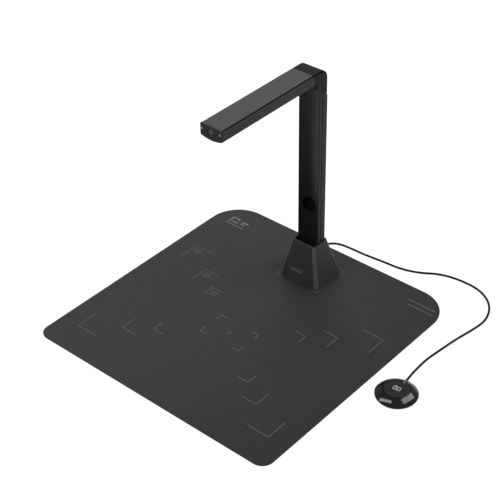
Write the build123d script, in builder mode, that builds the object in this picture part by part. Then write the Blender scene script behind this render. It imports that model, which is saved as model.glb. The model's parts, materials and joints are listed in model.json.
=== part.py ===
from build123d import *
import math
import os

# Folding document camera on a desk mat, with a wired remote button.
# Millimetres. +Z is up, +X runs along the mat's back edge and the head points along -Y.
# The origin is the centre of the mat's underside, which lies on the desk.

os.makedirs("parts", exist_ok=True)

# ---------------------------------------------------------------- driving dimensions
MAT_W, MAT_D = 497.0, 502.0
MAT_T = 2.0
MAT_BACK_R = 61.0
MAT_FRONT_R = 21.0

BASE_Z = MAT_T                      # the base stands on the mat
BASE_H = 74.0
BASE_HALF_W = 43.0                  # half width at the bottom
BASE_FRONT_Y, BASE_REAR_Y = 133.5, 206.5
RIM_HALF_W = 24.8                   # half width at the top
RIM_FRONT_Y, RIM_REAR_Y = 147.4, 187.0
BASE_CHAMFER, RIM_CHAMFER = 6.4, 4.4
BASE_WALL = 2.5

MAST_HALF_W = 21.7
MAST_FRONT_Y = 161.0                # the two front lips of the trough
MAST_BACK_Y = 182.6
MAST_SPLIT_Y = 168.1                # parting line between the front and rear shells
MAST_GROOVE = 1.4
TROUGH_DEPTH = 5.0
MAST_FOOT_Z = 16.0
MAST_WALL = 2.2
MAST_CORNER_R = 2.8

HINGE_Y, HINGE_Z = 165.0, 389.0     # fold axis, parallel to X
KNUCKLE_R = 11.0
KNUCKLE_GAP = 0.5
PIN_R = 2.5
PIN_PLAY = 0.05

HEAD_HALF_W = 21.6
HEAD_TOP_Z = 413.2
HEAD_SIDE_Z = 393.7                 # lower edge of the head's sides
BELLY_DEPTH = 4.2
HEAD_TIP_Y = -73.0
HEAD_WALL = 2.2
HEAD_BACK_Y = 181.0
HEAD_CORNER_R = 18.4
PANEL_HALF_W = 20.7                 # the top panel stands on the tub, in from its sides
PANEL_T = 2.9
SEAM_TOP_Y, SEAM_LOW_Y = 143.6, 148.8
SEAM_KINK_Z = 397.8
SEAM = 0.4
SKIRT_Y = 168.6                     # front of the corner block's rear skirt
SKIRT_Z = 371.6
SKIRT_SLOPE = 0.56

LENS_Y = -47.0                      # the camera looks straight down at the paper's centre

PUCK_X, PUCK_Y = 304.2, 5.7
PUCK_TURN = 8.5                     # degrees, the way the remote lies on the desk
PUCK_R = 35.2
PUCK_RIM_Z = 5.6                    # height of the widest circle
PUCK_TOP_R, PUCK_TOP_Z = 22.6, 15.8
CAP_R, CAP_Z = 21.7, 16.4

CORD_D = 4.0
GLAND_X, GLAND_Z = -27.0, 10.5
GLAND_END_Y = 211.5

SCREW_R = 1.4


def finish(part, name):
    """Label a finished sub-part and write its STEP file."""
    part.label = name
    export_step(part, f"parts/{name}.step")
    return part


# ---------------------------------------------------------------- desk mat
with BuildPart() as mat:
    with BuildSketch(Plane.XY):
        Rectangle(MAT_W, MAT_D)
        corners = vertices().sort_by(Axis.Y)
        fillet(corners[:2], MAT_FRONT_R)
        fillet(vertices().group_by(Axis.Y)[-1], MAT_BACK_R)
    extrude(amount=MAT_T)
    chamfer(faces().sort_by(Axis.Z)[-1].edges(), 0.6)
finish(mat.part, "mat")


# ---------------------------------------------------------------- base
def base_at(z):
    """Half width, front and rear of the base's outside at a height above its bottom."""
    t = (z - BASE_Z) / BASE_H
    half = BASE_HALF_W + (RIM_HALF_W - BASE_HALF_W) * t
    front = BASE_FRONT_Y + (RIM_FRONT_Y - BASE_FRONT_Y) * t
    rear = BASE_REAR_Y + (RIM_REAR_Y - BASE_REAR_Y) * t
    cut = BASE_CHAMFER + (RIM_CHAMFER - BASE_CHAMFER) * t
    return half, front, rear, cut


def base_outline(z, inset=0.0):
    """Eight-sided outline of the base at height z: a rectangle with its corners cut."""
    half, front, rear, cut = base_at(z)
    half, front, rear = half - inset, front + inset, rear - inset
    with BuildSketch(Plane.XY.offset(z)) as outline:
        with BuildLine():
            Polyline(
                (-half + cut, front), (half - cut, front), (half, front + cut),
                (half, rear - cut), (half - cut, rear), (-half + cut, rear),
                (-half, rear - cut), (-half, front + cut), close=True,
            )
        make_face()
    return outline.sketch


BASE_BOTTOM_Z = BASE_Z + 0.5        # the feet hold the shell just clear of the mat
BASE_TOP_Z = BASE_Z + BASE_H
CAVITY_TOP_Z = 58.0
SOCKET_FRONT_Y, SOCKET_REAR_Y = 152.3, 183.0
SOCKET_HALF_W = 22.1
PORT_X, PORT_Z = 14.0, 12.0
PORT_W, PORT_H = 9.6, 3.8
PLATE_Z, PLATE_T = 3.4, 2.4
BASE_MID_Y = (BASE_FRONT_Y + BASE_REAR_Y) / 2
SCREW_X, SCREW_DY = 34.0, 13.0
BOSS_R, BOSS_TOP_Z = 2.8, 24.0
MARK_X, MARK_Z, MARK_DEPTH = -6.6, 22.5, 0.8
FRONT_SLOPE = math.atan((RIM_FRONT_Y - BASE_FRONT_Y) / BASE_H)
INTO_FRONT = (0, math.cos(FRONT_SLOPE), -math.sin(FRONT_SLOPE))


def front_marks():
    """Two plain bars on the base's sloping front face."""
    face = Plane(
        origin=(MARK_X, base_at(MARK_Z)[1] - 0.12, MARK_Z),
        x_dir=(1, 0, 0), z_dir=(0, -math.cos(FRONT_SLOPE), math.sin(FRONT_SLOPE)),
    )
    with BuildSketch(face) as bars:
        with Locations((0, 2.4)):
            SlotOverall(31.0, 1.0)
        with Locations((0, -1.6)):
            SlotOverall(25.0, 1.8)
    return bars.sketch


with BuildPart() as base_shell:
    add(base_outline(BASE_BOTTOM_Z))
    add(base_outline(BASE_TOP_Z))
    loft(ruled=True)
    fillet(base_shell.edges().filter_by(lambda e: e.bounding_box().size.Z > BASE_H / 2), 1.2)
    fillet(base_shell.faces().sort_by(Axis.Z)[-1].edges(), 0.8)
    with BuildSketch(Plane.XY.offset(CAVITY_TOP_Z)):
        with Locations((0, (SOCKET_FRONT_Y + SOCKET_REAR_Y) / 2)):
            RectangleRounded(2 * SOCKET_HALF_W, SOCKET_REAR_Y - SOCKET_FRONT_Y, 2.4)
    extrude(amount=BASE_TOP_Z, mode=Mode.SUBTRACT)
    with BuildPart(mode=Mode.SUBTRACT):
        add(base_outline(BASE_BOTTOM_Z - 1.0, BASE_WALL))
        add(base_outline(CAVITY_TOP_Z, BASE_WALL))
        loft(ruled=True)
    with Locations((GLAND_X, BASE_REAR_Y - 4, GLAND_Z)):
        Cylinder(3.2, 16, rotation=(90, 0, 0), mode=Mode.SUBTRACT)
    with Locations((PORT_X, BASE_REAR_Y - 4, PORT_Z)):
        Box(PORT_W, 16, PORT_H, mode=Mode.SUBTRACT)
    extrude(front_marks(), amount=MARK_DEPTH, dir=INTO_FRONT, mode=Mode.SUBTRACT)
    # bosses for the screws that hold the bottom plate
    with BuildSketch(Plane.XY.offset(PLATE_Z + PLATE_T)):
        with Locations((0, BASE_MID_Y)):
            with GridLocations(2 * SCREW_X, 2 * SCREW_DY, 2, 2):
                Circle(BOSS_R)
    extrude(amount=BOSS_TOP_Z - PLATE_Z - PLATE_T)
    with BuildSketch(Plane.XY.offset(PLATE_Z + PLATE_T)):
        with Locations((0, BASE_MID_Y)):
            with GridLocations(2 * SCREW_X, 2 * SCREW_DY, 2, 2):
                Circle(SCREW_R)
    extrude(amount=7.0, mode=Mode.SUBTRACT)
finish(base_shell.part, "base_shell")

FOOT_X, FOOT_DY = 28.0, 22.0

with BuildPart() as base_bottom_plate:
    add(base_outline(PLATE_Z, BASE_WALL + 0.6))
    extrude(amount=PLATE_T)
    with Locations((0, BASE_MID_Y, PLATE_Z + PLATE_T / 2)):
        with GridLocations(2 * SCREW_X, 2 * SCREW_DY, 2, 2):
            Cylinder(SCREW_R + 0.02, PLATE_T * 2, mode=Mode.SUBTRACT)
finish(base_bottom_plate.part, "base_bottom_plate")

with BuildPart() as base_feet:
    with BuildSketch(Plane.XY.offset(BASE_Z)):
        with Locations((0, BASE_MID_Y)):
            with GridLocations(2 * FOOT_X, 2 * FOOT_DY, 2, 2):
                Circle(6.0)
    extrude(amount=PLATE_Z - BASE_Z)
    fillet(base_feet.faces().group_by(Axis.Z)[0].edges(), 0.4)
finish(base_feet.part, "base_feet")

with BuildPart() as base_screws:
    with Locations((0, BASE_MID_Y, PLATE_Z - 0.9)):
        with GridLocations(2 * SCREW_X, 2 * SCREW_DY, 2, 2):
            Cylinder(2.6, 0.9, align=(Align.CENTER, Align.CENTER, Align.MIN))
    with Locations((0, BASE_MID_Y, PLATE_Z)):
        with GridLocations(2 * SCREW_X, 2 * SCREW_DY, 2, 2):
            Cylinder(SCREW_R, 8.0, align=(Align.CENTER, Align.CENTER, Align.MIN))
finish(base_screws.part, "base_screws")

WEIGHT_Z = PLATE_Z + PLATE_T
WEIGHT_H = 7.5

with BuildPart() as base_weight:
    with BuildSketch(Plane.XY.offset(WEIGHT_Z)):
        with Locations((0, 162.0)):
            RectangleRounded(56.0, 40.0, 3.0)
    extrude(amount=WEIGHT_H)
    chamfer(base_weight.faces().sort_by(Axis.Z)[-1].edges(), 0.8)
finish(base_weight.part, "base_weight")

SOCKET_WALL = 2.6
COLLAR_Z = WEIGHT_Z + WEIGHT_H
MAST_MID_Y = (MAST_FRONT_Y + MAST_BACK_Y) / 2
MAST_DEPTH = MAST_BACK_Y - MAST_FRONT_Y

with BuildPart() as mast_socket:
    with BuildSketch(Plane.XY.offset(COLLAR_Z)):
        with Locations((0, MAST_MID_Y)):
            RectangleRounded(2 * (MAST_HALF_W + 0.2 + SOCKET_WALL), MAST_DEPTH + 0.4 + 2 * SOCKET_WALL, 3)
    extrude(amount=CAVITY_TOP_Z - COLLAR_Z - 2)
    with BuildSketch(Plane.XY.offset(MAST_FOOT_Z - 0.2)):
        with Locations((0, MAST_MID_Y)):
            Rectangle(2 * (MAST_HALF_W + 0.2), MAST_DEPTH + 0.4)
    extrude(amount=60, mode=Mode.SUBTRACT)
    with Locations((0, MAST_FRONT_Y - 2, COLLAR_Z + 14)):
        with GridLocations(24, 1, 2, 1):
            Cylinder(SCREW_R + 0.02, 8, rotation=(90, 0, 0), mode=Mode.SUBTRACT)
finish(mast_socket.part, "mast_socket")

with BuildPart() as mast_socket_screws:
    with Locations((0, MAST_FRONT_Y - SOCKET_WALL - 0.2 - 0.6, COLLAR_Z + 14)):
        with GridLocations(24, 1, 2, 1):
            Cylinder(2.6, 1.2, rotation=(90, 0, 0))
    with Locations((0, MAST_FRONT_Y - SOCKET_WALL + 1.2, COLLAR_Z + 14)):
        with GridLocations(24, 1, 2, 1):
            Cylinder(SCREW_R, 2.8, rotation=(90, 0, 0))
finish(mast_socket_screws.part, "mast_socket_screws")

BOARD_Z = WEIGHT_Z + 1.2
BOARD_FRONT_Y = 187.7

with BuildPart() as base_board:
    with BuildSketch(Plane.XY.offset(BOARD_Z)):
        with Locations((2, BOARD_FRONT_Y + 5.5)):
            Rectangle(50, 11)
    extrude(amount=1.6)
    with BuildSketch(Plane.XY.offset(BOARD_Z + 1.6)):
        with Locations((-6, BOARD_FRONT_Y + 4.5), (-14, BOARD_FRONT_Y + 5)):
            Rectangle(6, 6)
    extrude(amount=1.2)
finish(base_board.part, "base_board")

PORT_REAR_Y = 203.0
PORT_BODY_Y = 193.2

with BuildPart() as usb_socket:
    with BuildSketch(Plane.XZ.offset(-PORT_REAR_Y)):
        with Locations((PORT_X, PORT_Z)):
            RectangleRounded(PORT_W - 0.5, PORT_H - 0.5, 1.4)
    extrude(amount=PORT_REAR_Y - PORT_BODY_Y)
    with BuildSketch(Plane.XZ.offset(-PORT_REAR_Y)):
        with Locations((PORT_X, PORT_Z)):
            RectangleRounded(PORT_W - 1.1, PORT_H - 1.1, 1.2)
            Rectangle(6.4, 0.7, mode=Mode.SUBTRACT)
    extrude(amount=PORT_REAR_Y - PORT_BODY_Y - 1.5, mode=Mode.SUBTRACT)
    with BuildSketch(Plane.XY.offset(BOARD_Z + 1.6)):
        with Locations((PORT_X, PORT_BODY_Y + 2.2)):
            Rectangle(7, 4)
    extrude(amount=PORT_Z - PORT_H / 2 + 0.25 - BOARD_Z - 1.6)
finish(usb_socket.part, "usb_socket")

# Tapered boot in the rear wall: a flange inside, a neck through the hole and the boot outside.
with BuildPart() as base_cord_gland:
    with BuildSketch(Plane(origin=(GLAND_X, 0, GLAND_Z), x_dir=(0, 1, 0), z_dir=(1, 0, 0))):
        with BuildLine():
            Polyline(
                (196.3, 0), (196.3, 4.4), (198.3, 4.4), (198.3, 3.0), (205.4, 3.0), (205.4, 3.9),
                (206.9, 3.7), (GLAND_END_Y, 2.4), (GLAND_END_Y, 0), close=True,
            )
        make_face()
    revolve(axis=Axis((GLAND_X, 0, GLAND_Z), (0, 1, 0)))
finish(base_cord_gland.part, "base_cord_gland")

with BuildPart() as base_front_marks:
    extrude(front_marks(), amount=MARK_DEPTH, dir=INTO_FRONT)
finish(base_front_marks.part, "base_front_marks")

# ---------------------------------------------------------------- mast
MAST_NOSE_Z = HINGE_Z - 9.0
LIP = 0.8
CUP_R, CUP_Z, CUP_BACK_Y = 15.0, 149.5, 170.4


def trough_arc(half, lip_y, depth):
    """Arc across the trough, from lip to lip."""
    return ThreePointArc((-half, lip_y), (0, lip_y + depth), (half, lip_y))


with BuildPart() as mast_front_shell:
    with BuildSketch(Plane.XY.offset(MAST_FOOT_Z)):
        with BuildLine():
            trough_arc(MAST_HALF_W - LIP, MAST_FRONT_Y, TROUGH_DEPTH)
            Polyline(
                (MAST_HALF_W - LIP, MAST_FRONT_Y), (MAST_HALF_W - 0.4, MAST_FRONT_Y + 0.3),
                (MAST_HALF_W, MAST_FRONT_Y + 1.0), (MAST_HALF_W, MAST_SPLIT_Y),
                (-MAST_HALF_W, MAST_SPLIT_Y), (-MAST_HALF_W, MAST_FRONT_Y + 1.0),
                (-MAST_HALF_W + 0.4, MAST_FRONT_Y + 0.3), (-MAST_HALF_W + LIP, MAST_FRONT_Y),
            )
        make_face()
        inner = MAST_HALF_W - MAST_WALL
        with BuildLine():
            trough_arc(inner, MAST_FRONT_Y + 3.6, TROUGH_DEPTH - 1.4)
            Polyline(
                (inner, MAST_FRONT_Y + 3.6), (inner, MAST_SPLIT_Y + 1),
                (-inner, MAST_SPLIT_Y + 1), (-inner, MAST_FRONT_Y + 3.6),
            )
        make_face(mode=Mode.SUBTRACT)
    extrude(amount=MAST_NOSE_Z - MAST_FOOT_Z)
    # tongue that carries the rear shell and shows as the groove's floor
    with BuildSketch(Plane.XY.offset(MAST_FOOT_Z)):
        with Locations((0, MAST_SPLIT_Y + (MAST_GROOVE - 1.0) / 2)):
            with GridLocations(2 * (MAST_HALF_W - 1.7), 1, 2, 1):
                Rectangle(1.4, MAST_GROOVE + 1.0)
    extrude(amount=SKIRT_Z - 6 - MAST_FOOT_Z)
    # cradle concentric with the fold axis
    with Locations((0, HINGE_Y, HINGE_Z)):
        Cylinder(KNUCKLE_R + KNUCKLE_GAP, 60, rotation=(0, 90, 0), mode=Mode.SUBTRACT)
    # hole for the finger cup, where the folded head's tip is lifted
    with Locations((0, MAST_FRONT_Y + 4, CUP_Z)):
        Cylinder(CUP_R, 14, rotation=(90, 0, 0), mode=Mode.SUBTRACT)
finish(mast_front_shell.part, "mast_front_shell")

# The cup's rim follows the trough, so the folded head's belly passes over it.
with BuildPart() as mast_finger_cup:
    with Locations((0, CUP_BACK_Y, CUP_Z)):
        Cylinder(CUP_R - 0.2, 8.0, rotation=(90, 0, 0), align=(Align.CENTER, Align.CENTER, Align.MIN))
    with Locations((0, CUP_BACK_Y - 0.9, CUP_Z)):
        Cylinder(CUP_R - 1.2, 8.0, rotation=(90, 0, 0), align=(Align.CENTER, Align.CENTER, Align.MIN),
                 mode=Mode.SUBTRACT)
    with BuildSketch(Plane.XY.offset(CUP_Z - 20)):
        with BuildLine():
            trough_arc(MAST_HALF_W - LIP, MAST_FRONT_Y + 0.25, TROUGH_DEPTH)
            Polyline((MAST_HALF_W - LIP, MAST_FRONT_Y + 0.25), (MAST_HALF_W - LIP, MAST_FRONT_Y - 9),
                     (-MAST_HALF_W + LIP, MAST_FRONT_Y - 9), (-MAST_HALF_W + LIP, MAST_FRONT_Y + 0.25))
        make_face()
    extrude(amount=40, mode=Mode.SUBTRACT)
finish(mast_finger_cup.part, "mast_finger_cup")

REAR_FRONT_Y = MAST_SPLIT_Y + MAST_GROOVE
MAST_SCREW_Z = (60.0, 200.0, 308.0)
BRACKET_SCREW_Z = 330.0
with BuildPart() as mast_rear_shell:
    with BuildSketch(Plane.XY.offset(MAST_FOOT_Z)):
        with BuildLine():
            corner = MAST_CORNER_R
            Polyline(
                (-MAST_HALF_W, MAST_BACK_Y - corner), (-MAST_HALF_W, REAR_FRONT_Y),
                (-MAST_HALF_W + MAST_WALL, REAR_FRONT_Y), (-MAST_HALF_W + MAST_WALL, MAST_BACK_Y - corner),
            )
            RadiusArc(
                (-MAST_HALF_W + MAST_WALL, MAST_BACK_Y - corner),
                (-MAST_HALF_W + corner, MAST_BACK_Y - MAST_WALL), corner - MAST_WALL)
            Line(
                (-MAST_HALF_W + corner, MAST_BACK_Y - MAST_WALL),
                (MAST_HALF_W - corner, MAST_BACK_Y - MAST_WALL))
            RadiusArc(
                (MAST_HALF_W - corner, MAST_BACK_Y - MAST_WALL),
                (MAST_HALF_W - MAST_WALL, MAST_BACK_Y - corner), corner - MAST_WALL)
            Polyline(
                (MAST_HALF_W - MAST_WALL, MAST_BACK_Y - corner), (MAST_HALF_W - MAST_WALL, REAR_FRONT_Y),
                (MAST_HALF_W, REAR_FRONT_Y), (MAST_HALF_W, MAST_BACK_Y - corner),
            )
            RadiusArc(
                (MAST_HALF_W, MAST_BACK_Y - corner), (MAST_HALF_W - corner, MAST_BACK_Y), -corner)
            Line((MAST_HALF_W - corner, MAST_BACK_Y), (-MAST_HALF_W + corner, MAST_BACK_Y))
            RadiusArc(
                (-MAST_HALF_W + corner, MAST_BACK_Y), (-MAST_HALF_W, MAST_BACK_Y - corner), -corner)
        make_face()
    extrude(amount=MAST_NOSE_Z - MAST_FOOT_Z)
    # sloped top, just under the corner block's skirt
    with BuildSketch(Plane.YZ.offset(-30)):
        with BuildLine():
            top_front = SKIRT_Z - 0.6
            drop = SKIRT_SLOPE * 20
            Polyline(
                (SKIRT_Y - 4, top_front + SKIRT_SLOPE * 4), (SKIRT_Y + 20, top_front - drop),
                (SKIRT_Y + 20, 420), (SKIRT_Y - 4, 420), close=True,
            )
        make_face()
    extrude(amount=60, mode=Mode.SUBTRACT)
    # screw holes into the frame
    for z in MAST_SCREW_Z:
        with Locations((0, MAST_BACK_Y - 1, z)):
            Cylinder(SCREW_R + 0.02, 6, rotation=(90, 0, 0), mode=Mode.SUBTRACT)
        with Locations((0, MAST_BACK_Y - 0.4, z)):
            Cylinder(2.8, 1.0, rotation=(90, 0, 0), mode=Mode.SUBTRACT)
finish(mast_rear_shell.part, "mast_rear_shell")

FRAME_FRONT_Y, FRAME_BACK_Y = 170.8, 179.5
FRAME_HALF_W = 13.0
FRAME_WALL = 1.2
FRAME_TOP_Z = 356.0
FRAME_MID_Y = (FRAME_FRONT_Y + FRAME_BACK_Y) / 2
FRAME_DEPTH = FRAME_BACK_Y - FRAME_FRONT_Y

with BuildPart() as mast_frame:
    with BuildSketch(Plane.XY.offset(MAST_FOOT_Z)):
        with Locations((0, FRAME_MID_Y)):
            RectangleRounded(2 * FRAME_HALF_W, FRAME_DEPTH, 1.5)
            RectangleRounded(2 * (FRAME_HALF_W - FRAME_WALL), FRAME_DEPTH - 2 * FRAME_WALL, 0.4,
                             mode=Mode.SUBTRACT)
    extrude(amount=FRAME_TOP_Z - MAST_FOOT_Z)
    for z in MAST_SCREW_Z:
        with Locations((0, FRAME_BACK_Y, z)):
            Cylinder(SCREW_R + 0.02, 4, rotation=(90, 0, 0), mode=Mode.SUBTRACT)
    with Locations((0, FRAME_MID_Y, BRACKET_SCREW_Z)):
        with GridLocations(10, 1, 2, 1):
            Cylinder(SCREW_R, 12, rotation=(90, 0, 0), mode=Mode.SUBTRACT)
finish(mast_frame.part, "mast_frame")

with BuildPart() as mast_screws:
    for z in MAST_SCREW_Z:
        with Locations((0, MAST_BACK_Y - 0.5, z)):
            Cylinder(2.6, 0.8, rotation=(90, 0, 0))
        with Locations((0, MAST_BACK_Y - 2.7, z)):
            Cylinder(SCREW_R, 4.0, rotation=(90, 0, 0))
finish(mast_screws.part, "mast_screws")

CENTRE_BARREL = 9.4
STEM_Y, STEM_DEPTH = FRAME_MID_Y, FRAME_DEPTH - 2 * FRAME_WALL
STEM_Z = 322.0
with BuildPart() as hinge_bracket:
    with Locations((0, HINGE_Y, HINGE_Z)):
        Cylinder(KNUCKLE_R, 2 * CENTRE_BARREL, rotation=(0, 90, 0))
    with BuildSketch(Plane.XY.offset(STEM_Z)):
        with Locations((0, STEM_Y)):
            RectangleRounded(2 * CENTRE_BARREL, STEM_DEPTH, 1.0)
    extrude(amount=HINGE_Z - 1 - STEM_Z)
    with Locations((0, HINGE_Y, HINGE_Z)):
        Cylinder(PIN_R, 30, rotation=(0, 90, 0), mode=Mode.SUBTRACT)
    with Locations((0, STEM_Y, BRACKET_SCREW_Z)):
        with GridLocations(10, 1, 2, 1):
            Cylinder(SCREW_R, 12, rotation=(90, 0, 0), mode=Mode.SUBTRACT)
finish(hinge_bracket.part, "hinge_bracket")

with BuildPart() as hinge_bracket_screws:
    with Locations((0, STEM_Y, BRACKET_SCREW_Z)):
        with GridLocations(10, 1, 2, 1):
            Cylinder(SCREW_R, FRAME_DEPTH, rotation=(90, 0, 0))
finish(hinge_bracket_screws.part, "hinge_bracket_screws")

with BuildPart() as mast_ribbon:
    with BuildSketch(Plane.XY.offset(MAST_FOOT_Z + 2)):
        with Locations((0, 172.32)):
            Rectangle(14, 0.3)
    extrude(amount=300)
finish(mast_ribbon.part, "mast_ribbon")

# ---------------------------------------------------------------- hinge
SIDE_BARREL_IN, SIDE_BARREL_OUT = 11.4, 16.2
PIN_HALF = 17.8
CHEEK_X = HEAD_HALF_W - HEAD_WALL

with BuildPart() as hinge_pin:
    with Locations((0, HINGE_Y, HINGE_Z)):
        Cylinder(PIN_R, 2 * PIN_HALF, rotation=(0, 90, 0))
    chamfer(hinge_pin.edges().group_by(Axis.X)[0] + hinge_pin.edges().group_by(Axis.X)[-1], 0.4)
finish(hinge_pin.part, "hinge_pin")

with BuildPart() as hinge_clips:
    for side in (-1, 1):
        with Locations((side * (SIDE_BARREL_OUT + 0.8), HINGE_Y, HINGE_Z)):
            Cylinder(4.6, 0.8, rotation=(0, 90, 0))
            Cylinder(PIN_R, 0.8, rotation=(0, 90, 0), mode=Mode.SUBTRACT)
finish(hinge_clips.part, "hinge_clips")

with BuildPart() as hinge_friction_discs:
    for side in (-1, 1):
        with Locations((side * (SIDE_BARREL_IN - 0.8), HINGE_Y, HINGE_Z)):
            Cylinder(8.6, 1.6, rotation=(0, 90, 0))
            Cylinder(PIN_R + PIN_PLAY, 2, rotation=(0, 90, 0), mode=Mode.SUBTRACT)
finish(hinge_friction_discs.part, "hinge_friction_discs")


def head_section(half, top_z, depth):
    """Cross-section of the head for an XZ plane: straight sides and top, and a convex belly."""
    with BuildSketch() as section:
        with BuildLine():
            ThreePointArc((-half, HEAD_SIDE_Z), (0, HEAD_SIDE_Z - depth), (half, HEAD_SIDE_Z))
            Polyline((half, HEAD_SIDE_Z), (half, top_z), (-half, top_z), (-half, HEAD_SIDE_Z))
        make_face()
    return section.sketch


knuckle_front_y = HINGE_Y - math.sqrt(KNUCKLE_R**2 - (HEAD_SIDE_Z - HINGE_Z) ** 2)
skirt_top_z = HINGE_Z - math.sqrt(KNUCKLE_R**2 - (SKIRT_Y - HINGE_Y) ** 2)


def block_side(half, inset):
    """Side profile of the corner block, with its top and rear edges moved in by the inset."""
    top, back, radius = HEAD_TOP_Z - inset, HEAD_BACK_Y - inset, HEAD_CORNER_R - inset
    seam_y = SEAM_LOW_Y + (SEAM_TOP_Y - SEAM_LOW_Y) * (top - SEAM_KINK_Z) / (HEAD_TOP_Z - SEAM_KINK_Z)
    with BuildSketch(Plane.YZ.offset(-half)) as side:
        with BuildLine():
            Polyline(
                (knuckle_front_y, HEAD_SIDE_Z), (SEAM_LOW_Y + SEAM, HEAD_SIDE_Z),
                (SEAM_LOW_Y + SEAM, SEAM_KINK_Z), (seam_y + SEAM, top), (back - radius, top),
            )
            CenterArc((back - radius, top - radius), radius, 0, 90)
            Polyline(
                (back, top - radius), (back, SKIRT_Z - SKIRT_SLOPE * (back - SKIRT_Y)),
                (SKIRT_Y, SKIRT_Z), (SKIRT_Y, skirt_top_z),
            )
            ThreePointArc(
                (SKIRT_Y, skirt_top_z),
                (HINGE_Y - KNUCKLE_R * math.cos(math.radians(40)),
                 HINGE_Z - KNUCKLE_R * math.sin(math.radians(40))),
                (knuckle_front_y, HEAD_SIDE_Z))
        make_face()
    return side.sketch


with BuildPart() as hinge_block:
    # flat top, rounded rear corner, rear skirt and the knuckle's underside; the rim steps in like
    # the top panel's sides
    extrude(block_side(PANEL_HALF_W, 0), amount=2 * PANEL_HALF_W, dir=(1, 0, 0))
    extrude(block_side(HEAD_HALF_W, PANEL_T), amount=2 * HEAD_HALF_W, dir=(1, 0, 0))
    # the belly runs back into the knuckle
    with BuildSketch(Plane.XZ.offset(-(SEAM_LOW_Y + SEAM))):
        add(head_section(HEAD_HALF_W, SEAM_KINK_Z, BELLY_DEPTH))
    extrude(amount=-(HINGE_Y - SEAM_LOW_Y - 6))
    # soft outer edge along the top and round the rear corner
    fillet(hinge_block.edges().filter_by(lambda e: e.center().Z > HEAD_SIDE_Z + 4
                                         and abs(abs(e.center().X) - PANEL_HALF_W) < 0.01
                                         and abs(e.center().Z - HEAD_TOP_Z) < 6
                                         and e.center().Y > SEAM_TOP_Y + 2
                                         and e.bounding_box().max.Z > HEAD_TOP_Z - 0.1), 0.5)
    # inside, open towards the head and down into the mast
    with BuildSketch(Plane.YZ.offset(-CHEEK_X)):
        with BuildLine():
            roof = HEAD_TOP_Z - HEAD_WALL
            back = HEAD_BACK_Y - HEAD_WALL
            inner_r = HEAD_CORNER_R - HEAD_WALL
            floor = HEAD_SIDE_Z + 2.5
            Polyline((back - inner_r, roof), (140, roof), (140, floor), (156.5, floor), (156.5, 350),
                     (back, 350), (back, roof - inner_r))
            CenterArc((back - inner_r, roof - inner_r), inner_r, 0, 90)
        make_face()
    extrude(amount=2 * CHEEK_X, mode=Mode.SUBTRACT)
    # side barrels round the pin, and the pocket for the mast's centre barrel
    for side in (-1, 1):
        with Locations((side * (SIDE_BARREL_IN + SIDE_BARREL_OUT) / 2, HINGE_Y, HINGE_Z)):
            Cylinder(KNUCKLE_R, SIDE_BARREL_OUT - SIDE_BARREL_IN, rotation=(0, 90, 0))
    with Locations((0, HINGE_Y, HINGE_Z)):
        Cylinder(KNUCKLE_R + KNUCKLE_GAP + 0.1, 2 * SIDE_BARREL_IN, rotation=(0, 90, 0),
                 mode=Mode.SUBTRACT)
        Cylinder(PIN_R + PIN_PLAY, 2 * CHEEK_X, rotation=(0, 90, 0), mode=Mode.SUBTRACT)
    # cheeks carry webs that join them to the barrels
    for side in (-1, 1):
        with Locations((side * (SIDE_BARREL_OUT + CHEEK_X) / 2, HINGE_Y - 7.4, HINGE_Z)):
            Box(CHEEK_X - SIDE_BARREL_OUT + 0.6, 3.4, 8.0)
finish(hinge_block.part, "hinge_block")

# ---------------------------------------------------------------- head
TUB_TOP_Z = HEAD_TOP_Z - PANEL_T
TUB_BEVEL = 1.5
CAP_T = 2.8
TUB_FRONT_Y = HEAD_TIP_Y + CAP_T
LAMP_Y, LAMP_L, LAMP_W = 12.0, 60.0, 9.0
CHASSIS_Z, CHASSIS_T = 403.4, 1.5


def behind_seam():
    """Side view of what is cut away behind the slanted seam with the corner block."""
    with BuildSketch(Plane.YZ.offset(-HEAD_HALF_W - 1)) as cut:
        with BuildLine():
            Polyline((SEAM_LOW_Y, SEAM_KINK_Z), (SEAM_TOP_Y, HEAD_TOP_Z), (SEAM_LOW_Y + 5, HEAD_TOP_Z),
                     (SEAM_LOW_Y + 5, SEAM_KINK_Z), close=True)
        make_face()
    return cut.sketch


with BuildPart() as head_tub:
    with BuildSketch(Plane.XZ.offset(-TUB_FRONT_Y)):
        add(head_section(HEAD_HALF_W, TUB_TOP_Z, BELLY_DEPTH))
    extrude(amount=-(SEAM_LOW_Y - TUB_FRONT_Y))
    # bevelled upper edges beside the top panel
    chamfer(head_tub.edges().filter_by(Axis.Y).filter_by(
        lambda e: e.center().Z > TUB_TOP_Z - 0.1), TUB_BEVEL)
    # hollow inside, open at the top
    with BuildSketch(Plane.XZ.offset(-(TUB_FRONT_Y - 1))):
        add(head_section(CHEEK_X, 430, BELLY_DEPTH - HEAD_WALL))
    extrude(amount=-(SEAM_LOW_Y - TUB_FRONT_Y + 4), mode=Mode.SUBTRACT)
    extrude(behind_seam(), amount=2 * HEAD_HALF_W + 2, dir=(1, 0, 0), mode=Mode.SUBTRACT)
    # windows for the camera and the lamp
    with Locations((0, LENS_Y, HEAD_SIDE_Z - 3)):
        Cylinder(8.6, 12, mode=Mode.SUBTRACT)
    with BuildSketch(Plane.XY.offset(HEAD_SIDE_Z - 10)):
        with Locations((0, LAMP_Y)):
            SlotOverall(LAMP_L, LAMP_W, rotation=90)
    extrude(amount=12, mode=Mode.SUBTRACT)
finish(head_tub.part, "head_tub")

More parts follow.
